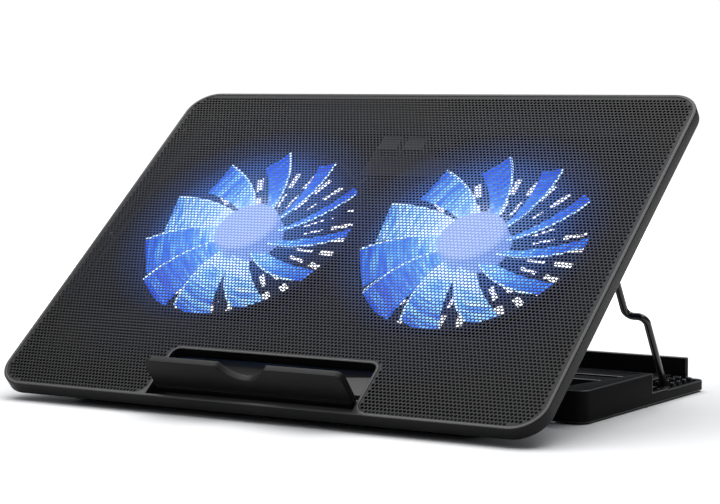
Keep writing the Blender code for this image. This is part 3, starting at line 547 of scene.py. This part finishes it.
def punched_sheet():
    """Cells of the punching grid, each a ring of eight points of a half-pitch lattice. Cells
    stand where row and column add up to an even number. Lattice points on the sheet's
    border are moved onto its true edge, down the slope of the distance from it. Given
    back: rings, cell centres, which cells have a hole, and the lattice points' places."""
    half_x, half_s = PITCH / 2, ROW / 2
    columns, rows = int(HALF_WIDTH / half_x) + 2, int(DEPTH / ROW) + 2
    row, column = np.meshgrid(np.arange(rows), np.arange(-columns, columns + 1), indexing="ij")
    keep = (row + column) % 2 == 0
    row, column = row[keep], column[keep]
    x, s = column * half_x, (row + 0.5) * ROW
    inside = outside(x, s) < -MARGIN - 0.0001
    row, column, x, s = row[inside], column[inside], x[inside], s[inside]
    width = 2 * columns + 5
    steps = np.array([(-1, 0), (0, 0), (1, 0), (1, 1), (1, 2), (0, 2), (-1, 2), (-1, 1)])
    ring = ((2 * row[:, None] + steps[:, 1]) * width
            + column[:, None] + steps[:, 0] + columns + 2)
    ahead = np.roll(ring, -1, 1)
    count = ring.max() + 1
    border = ~np.isin(ring * count + ahead, ahead * count + ring)
    lattice = np.arange(count)
    px, ps = (lattice % width - columns - 2) * half_x, (lattice // width) * half_s
    edge = np.unique(np.r_[ring[border], ahead[border]])
    for _ in range(4):
        gap = outside(px[edge], ps[edge])
        slope_x = (outside(px[edge] + SMALL_STEP, ps[edge]) - gap) / SMALL_STEP
        slope_s = (outside(px[edge], ps[edge] + SMALL_STEP) - gap) / SMALL_STEP
        px[edge] -= gap * slope_x
        ps[edge] -= gap * slope_s
    holed = outside(x, s) < -(HOLE + MARGIN)
    return ring, x, s, holed, px, ps


sheet_coat, sheet_shader, sheet_place = new_finish(
    "sheet_coat", (0.008, 0.0082, 0.009), 0.45, 0, 0.13)
speck = sheet_place.node("TexNoise", {}, {"Vector": sheet_place, "Scale": 1500, "Detail": 2})
feed(sheet_shader, "Normal", sheet_place.node("Bump", {}, {
    "Height": speck, "Strength": 0.4, "Distance": 0.00006}))
feed(sheet_shader, "Roughness", speck * 0.2 + 0.35)


def fan_distance(place, side):
    """How far a place is from a fan's axis: the root of its squared distance from the fan's
    centre less its squared depth along the axis."""
    axis = np.array(joints["fan_%s_spin" % side]["pos_m"])
    offset = place.node("VectorMath", {"operation": "SUBTRACT"}, {0: place, 1: axis})
    depth = offset.node("VectorMath", {"operation": "DOT_PRODUCT"}, {0: offset, 1: deck_up}, out=1)
    length = offset.node("VectorMath", {"operation": "LENGTH"}, {0: offset}, out=1)
    return (length * length - depth * depth) ** 0.5


# Each fan's light on the web is painted in as a glow that fades with distance from its axis.
painted_fan_glows = []
for side in ("left", "right"):
    painted_fan_glows.append(sheet_place.node("ValToRGB", {"stops": (
        (0, (0.24, 0.35, 0.7)), (0.16, (0.24, 0.35, 0.7)), (0.21, (0.08, 0.19, 0.52)),
        (0.42, (0.025, 0.09, 0.34)), (0.54, (0.005, 0.022, 0.1)), (0.7, (0.0004, 0.002, 0.012)),
        (1, (0, 0, 0)))}, {0: fan_distance(sheet_place, side) * (1 / GLOW_REACH)}))
both_painted_glows = sheet_place.node("VectorMath", {"operation": "ADD"}, dict(enumerate(painted_fan_glows)))
feed(sheet_shader, "Emission Color", both_painted_glows)
sheet_shader.inputs["Emission Strength"].default_value = 1

ring, hole_x, hole_s, holed, edge_x, edge_s = punched_sheet()
# The sheet is made in five strips, so that no mesh grows too large.
hole_angle = np.radians(np.array([225, 270, 315, 0, 45, 90, 135, 180]))
STRIPS = 5
strip_of = np.clip(((hole_x + HALF_WIDTH) / (2 * HALF_WIDTH) * STRIPS).astype(int), 0, STRIPS - 1)
for strip in range(STRIPS):
    mine = strip_of == strip
    x, s = hole_x[mine & holed], hole_s[mine & holed]
    used, local = np.unique(ring[mine], return_inverse=True)
    local = local.reshape(-1, 8)
    open_local, shut_local = local[holed[mine]], local[~holed[mine]]
    lip_x = x[:, None] + HOLE * np.cos(hole_angle)
    lip_s = s[:, None] + HOLE * np.sin(hole_angle)
    lip_index = len(used) + np.arange(8 * len(x)).reshape(-1, 8)
    quads = np.stack((open_local, np.roll(open_local, -1, 1), np.roll(lip_index, -1, 1),
                      lip_index), -1).reshape(-1, 4)
    plates = np.vstack((shut_local[:, [0, 1, 2, 3]], shut_local[:, [0, 3, 4, 7]],
                        shut_local[:, [4, 5, 6, 7]]))
    points = on_deck(np.r_[edge_x[used], lip_x.ravel()], np.r_[edge_s[used], lip_s.ravel()],
                     SHEET_TOP)
    mesh = bpy.data.meshes.new("sheet")
    mesh.from_pydata(points.tolist(), [], np.vstack((quads, plates)).tolist())
    mesh.materials.append(sheet_coat)
    panel = bpy.data.objects.new("sheet_panel_%d" % (strip + 1), mesh)
    bpy.context.collection.objects.link(panel)
    thick = panel.modifiers.new("thickness", "SOLIDIFY")
    thick.thickness = SHEET_THICK
    thick.offset = -1
    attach(panel, "deck")
    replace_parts(panel, "mesh_panel")

# ---- Fans --------------------------------------------------------------------------------
# Two axial rotors moulded in clear blue-tinted plastic, eleven swept blades on a cap. The
# diodes on the ring board under each cap light the plastic from the hub out, as a painted glow.
HUB, TIP, BLADES, BLADE_WALL = 0.022, 0.0735, 11, 0.0009
ROOT = HUB - 0.0008
# How pale each blade is painted: a painted highlight for the light each blade catches as it is
# turned.
BLADE_PAINTED_HIGHLIGHT = (0.1, 0.05, 0.1, 0.2, 0.35, 0.8, 0.6, 0.2, 0.4, 1.0, 0.6)


def blade_finish():
    """Painted glow: paleness is the blade's painted highlight, plus painted glow near the hub,
    less some towards the tip, plus streaks of noise drawn out along the chord; a ramp makes
    it blue, and the upper edge is painted pale."""
    finish, shader, place = new_finish("painted_glow_blade", (0.02, 0.08, 0.4), 0.25)
    spot = place.node("UVMap", {"uv_map": "span_chord"}, {})
    span = place.node("SeparateXYZ", {}, {0: spot}, out=0)
    chord = place.node("SeparateXYZ", {}, {0: spot}, out=1)
    near_diode = place.node("UVMap", {"uv_map": "near_diode"}, {})
    share = place.node("SeparateXYZ", {}, {0: near_diode}, out=0)
    flow = place.node("CombineXYZ", {}, {0: span * 21, 1: chord * 1.3, 2: share * 9})
    arcs = place.node("TexNoise", {}, {"Vector": flow, "Scale": 1.0, "Detail": 3})
    pale = share * 0.75 + (1 - span.step(0.0, 0.8)) * 0.38 - span.step(0.6, 1) * 0.1
    pale = pale + (arcs - 0.48) * 1.7
    tone = place.node("ValToRGB", {"stops": (
        (0.0, (0.006, 0.05, 0.6)), (0.35, (0.03, 0.17, 0.85)),
        (0.65, (0.17, 0.47, 0.95)), (1.0, (0.66, 0.87, 1.0)))}, {0: pale})
    # The blade's light is painted in as emission, paler still along the upper edge.
    edge = 1 - chord.step(0.02, 0.06)
    feed(shader, "Emission Color", edge.between(tone, (0.6, 0.85, 1, 1)))
    shader.inputs["Emission Strength"].default_value = 1.75
    return finish


def cap_finish():
    """The hub's cap: an even lavender painted glow, slightly cloudy."""
    finish, shader, place = new_finish("painted_glow_cap", (0.2, 0.25, 0.5), 0.3)
    haze = place.node("TexNoise", {}, {"Vector": place, "Scale": 70, "Detail": 2})
    feed(shader, "Emission Color", haze.between((0.28, 0.42, 0.9, 1), (0.38, 0.5, 0.95, 1)))
    shader.inputs["Emission Strength"].default_value = 0.95
    return finish


blade_painted_glow, cap_painted_glow = blade_finish(), cap_finish()
copper, copper_shader, copper_place = new_finish("winding_copper", (0.6, 0.27, 0.12), 0.35, 1.0)
turns = copper_place.node("TexWave", {"bands_direction": "Z"}, {
    "Vector": copper_place, "Scale": 1400})
feed(copper_shader, "Normal", copper_place.node("Bump", {}, {
    "Height": turns, "Strength": 0.8, "Distance": 0.0002}))
board, board_shader, board_place = new_finish("board_green", (0.015, 0.13, 0.06), 0.4)
tracks = board_place.node("TexBrick", {}, {
    "Vector": board_place, "Scale": 380, "Color1": (0.015, 0.13, 0.06, 1),
    "Color2": (0.02, 0.17, 0.08, 1), "Mortar": (0.01, 0.08, 0.04, 1)})
feed(board_shader, "Base Color", tracks)
bronze, bronze_shader, bronze_place = new_finish("bearing_bronze", (0.45, 0.28, 0.12), 0.45, 1.0)
pores = bronze_place.node("TexNoise", {}, {"Vector": bronze_place, "Scale": 3000})
feed(bronze_shader, "Roughness", pores * 0.3 + 0.3)


def blade_grid(turn_angle, centre, spans=22, chords=12):
    """One blade: radius along the grid, azimuth and height across it.

    Azimuth runs from the upper edge's to the lower edge's, both swept back with radius.
    Height runs down from the upper edge's, which rises towards the tip, less a sine bow."""
    span, chord = np.meshgrid(np.linspace(0, 1, spans), np.linspace(0, 1, chords), indexing="ij")
    radius = ROOT + (TIP - ROOT) * span
    share = (radius - HUB) / (TIP - HUB)
    upper, lower = np.radians(18 - 21 * share), np.radians(-6 - 15 * share)
    azimuth = upper + (lower - upper) * chord + turn_angle
    high, low = -0.0014 + 0.0036 * share, -0.0074 - 0.0014 * share
    height = high + (low - high) * chord - 0.0011 * np.sin(np.pi * chord)
    out = radius * np.sin(azimuth)
    up_slope = radius * np.cos(azimuth)
    points = (centre + out[..., None] * np.array([1, 0, 0]) + up_slope[..., None] * deck_slope
              + height[..., None] * deck_up)
    return points, np.stack((span, chord), -1)


# Radius and height of the cap, top to foot and back up inside, in mm.
cap_profile = np.array([
    (0, 3.4), (19.4, 3.4), (20.6, 3.28), (21.5, 2.9), (21.9, 2.3), (22, 1.5), (22, -8.2),
    (21.8, -8.4), (20.7, -8.4), (20.5, -8.2), (20.5, 1.9), (0, 1.9)]) * 0.001
for side in ("left", "right"):
    body = "rotor_" + side
    centre = np.array(joints["fan_%s_spin" % side]["pos_m"])
    grids = [blade_grid(2 * np.pi * i / BLADES, centre) for i in range(BLADES)]
    points = np.array([grid[0] for grid in grids])
    marks = np.array([grid[1] for grid in grids])
    _, spans, chords = points.shape[:3]
    index = np.arange(points.size // 3).reshape(BLADES, spans, chords)
    quads = np.stack((index[:, :-1, :-1], index[:, 1:, :-1], index[:, 1:, 1:],
                      index[:, :-1, 1:]), -1).reshape(-1, 4)
    mesh = bpy.data.meshes.new("blades")
    mesh.from_pydata(points.reshape(-1, 3).tolist(), [], quads.tolist())
    uv = mesh.uv_layers.new(name="span_chord")
    uv.data.foreach_set("uv", marks.reshape(-1, 2)[quads.ravel()].ravel())
    # Each blade's painted highlight, carried in its own UV map.
    share = np.repeat(BLADE_PAINTED_HIGHLIGHT, spans * chords)[quads.ravel()]
    uv = mesh.uv_layers.new(name="near_diode")
    uv.data.foreach_set("uv", np.stack((share, 0 * share), -1).ravel())
    mesh.materials.append(blade_painted_glow)
    mesh.shade_smooth()
    blades = bpy.data.objects.new("blades_" + side, mesh)
    bpy.context.collection.objects.link(blades)
    wall = blades.modifiers.new("thickness", "SOLIDIFY")
    wall.thickness = BLADE_WALL
    wall.offset = 0
    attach(blades, body)
    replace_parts(blades, "rotor_" + side)
    cap = turned("cap_" + side, cap_profile, centre, deck_up, body, cap_painted_glow, 72)
    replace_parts(cap, "rotor_" + side)
    for node, finish in (("magnet_ring_", rubber), ("shaft_", steel), ("motor_mount_", black),
                         ("bearing_", bronze), ("led_board_", board), ("fan_shroud_", black),
                         ("stator_", copper), ("fan_lead_", rubber)):
        dress(node + side, finish)

# ---- Ports and switch --------------------------------------------------------------------
# Two pressed-steel USB sockets and a rocker switch stand in the tub's rear wall, on the
# small control board inside.
# The control board is coloured near black: painted shade for the shade inside the tub.
shaded_board_finish, dark_shader, dark_place = new_finish(
    "board_painted_shade", (0.004, 0.005, 0.005), 0.5, 0, 0.1)
lines = dark_place.node("TexBrick", {}, {
    "Vector": dark_place, "Scale": 300, "Color1": (0.004, 0.005, 0.005, 1),
    "Color2": (0.006, 0.007, 0.006, 1), "Mortar": (0.002, 0.003, 0.003, 1)})
feed(dark_shader, "Base Color", lines)
# The sockets' near-black colour is painted shade for the shade inside the tub.
shaded_socket, nickel_shader, nickel_place = new_finish("socket_nickel_painted_shade", (0.03, 0.03, 0.032), 0.45, 1.0)
dull = nickel_place.node("TexNoise", {}, {"Vector": nickel_place, "Scale": 1200})
feed(nickel_shader, "Roughness", dull * 0.2 + 0.35)
for node, finish in (("control_board", shaded_board_finish), ("usb_socket_left", shaded_socket),
                     ("usb_socket_right", shaded_socket)):
    dress(node, finish)
SWITCH_ROUND = 0.0003
eased("switch_housing", "deck", black, SWITCH_ROUND, 2)
eased("power_rocker", "power_rocker", charcoal, SWITCH_ROUND, 2)

# ---- Laptop stop -------------------------------------------------------------------------
# A black lip that stands up out of the recess on two pins and keeps the laptop from
# sliding; its ends are rounded and its middle is scooped for a thumb.
stop_axis = np.array(joints["stop_fold"]["pos_m"])
STOP_HALF, STOP_TOP, STOP_THICK, STOP_CORNER = 0.06875, 0.0229, 0.0048, 0.0045
STOP_LOW, STOP_EASE, STRAIGHT_HALF = -0.0024, 0.0007, 0.064
SCOOP_DEEP, SCOOP_HALF, SCOOP_POWER = 0.01, 0.0169, 2.3


def stop_grid():
    """Sections across the lip, carried along x. The top's height is the stop's, less a
    quarter circle at each end, less the scoop, which is deepest in the middle and shallows
    as a power of the distance from it. The ends are drawn in to a point."""
    middle = np.linspace(-STRAIGHT_HALF, STRAIGHT_HALF, 129)
    bend = np.linspace(0, np.pi / 2, 14)
    ends = STOP_HALF - STOP_CORNER * (1 - np.sin(bend))
    x = np.r_[-ends[::-1], middle, ends]
    top = (np.r_[np.cos(bend[::-1]), 0 * middle + 1, np.cos(bend)] * STOP_CORNER
           + STOP_TOP - STOP_CORNER)
    top = top - SCOOP_DEEP * (1 - np.minimum(np.abs(x / SCOOP_HALF), 1) ** SCOOP_POWER)
    corner = np.linspace(0, np.pi / 2, 5)
    round_in, round_down = STOP_EASE * (1 - np.cos(corner)), STOP_EASE * (1 - np.sin(corner))
    half, count = STOP_THICK / 2, len(x)
    front = np.array([(-half, STOP_LOW + STOP_EASE), (-half, 0.0011), (-half + 0.0004, 0.0014),
                      (-half + 0.0004, 0.0018), (-half, 0.0021), (-half, 0.006)])
    front = np.repeat(front[None], count, 0)
    top_front = np.stack((np.broadcast_to(-half + round_in, (count, 5)),
                          top[:, None] - round_down), -1)
    top_back = np.stack((np.broadcast_to(half - round_in[::-1], (count, 5)),
                         top[:, None] - round_down[::-1]), -1)
    low_back = np.stack((half - round_in, STOP_LOW + round_down), -1)
    low_front = np.stack((-half + round_in[::-1], STOP_LOW + round_down[::-1]), -1)
    low = np.repeat(np.concatenate((low_back, low_front))[None], count, 0)
    sections = np.concatenate((front, top_front, top_back, low), 1)
    inner = np.array([0, 0.006])
    shrinks, steps_in = np.array([1.0, 0.12, 0.03]), np.array([0.0003, 0.0003, 0.0002])
    first = [sections[0] + (inner - sections[0]) * shrink for shrink in shrinks]
    last = [sections[-1] + (inner - sections[-1]) * shrink for shrink in shrinks[::-1]]
    sections = np.concatenate((first, sections, last))
    x = np.r_[x[0] - steps_in, x, x[-1] + steps_in[::-1]]
    return (stop_axis + x[:, None, None] * np.array([1, 0, 0])
            + sections[..., :1] * deck_slope + sections[..., 1:] * deck_up)


lip = skin("laptop_lip", stop_grid(), "laptop_stop", charcoal, around=True, smooth=50)
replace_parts(lip, "laptop_stop")
for node in ("stop_pin_left", "stop_pin_right"):
    dress(node, gloss)

# ---- Screws ------------------------------------------------------------------------------
# Zinc-plated pan heads with crossed slots: six hold the cover up against the frame and one
# holds each bail clip.
HEAD_RADIUS, HEAD_RISE, HEAD_DEPTH = 0.0024, 0.0013, 0.0087
SHANK_RADIUS, SHANK_LENGTH = 0.0011, 0.0053
SLOT_DEEP, SLOT_HALF, SLOT_REACH = 0.0006, 0.13, 0.62
SCREW_X, SCREW_S = 0.1843, (0.035, 0.1405, 0.246)


def pan_head(name, node, x, s):
    """Head and shank as one surface: the height falls off with the fourth power of the
    radius, two crossed slots are sunk into it, and the rim runs down to the shank."""
    turns_round = np.linspace(0, 2 * np.pi, 56, endpoint=False)
    share, angle = np.meshgrid(np.linspace(0, 1, 16), turns_round, indexing="ij")
    rise = HEAD_RISE * (1 - 0.5 * share ** 4)
    arm = np.minimum(np.abs(np.cos(angle)), np.abs(np.sin(angle))) * share
    rise = rise - SLOT_DEEP * ((arm < SLOT_HALF) & (share < SLOT_REACH))
    shank = np.array([(HEAD_RADIUS, 0), (SHANK_RADIUS, 0), (SHANK_RADIUS, -SHANK_LENGTH),
                      (0, -SHANK_LENGTH)])
    radius = np.vstack((HEAD_RADIUS * share, np.repeat(shank[:, :1], len(turns_round), 1)))
    rise = np.vstack((rise, np.repeat(shank[:, 1:], len(turns_round), 1)))
    angle = np.vstack((angle, angle[:len(shank)]))
    points = on_deck(x + radius * np.cos(angle), s + radius * np.sin(angle), HEAD_DEPTH + rise)
    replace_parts(skin(name, points, "deck", steel, around=True, smooth=30), node)


for number in range(6):
    node = "cover_screw_%d" % (number + 1)
    pan_head(node + "_head", node, SCREW_X * (-1 if number < 3 else 1), SCREW_S[number % 3])
for node in ("clip_screw_left", "clip_screw_right"):
    dress(node, steel)
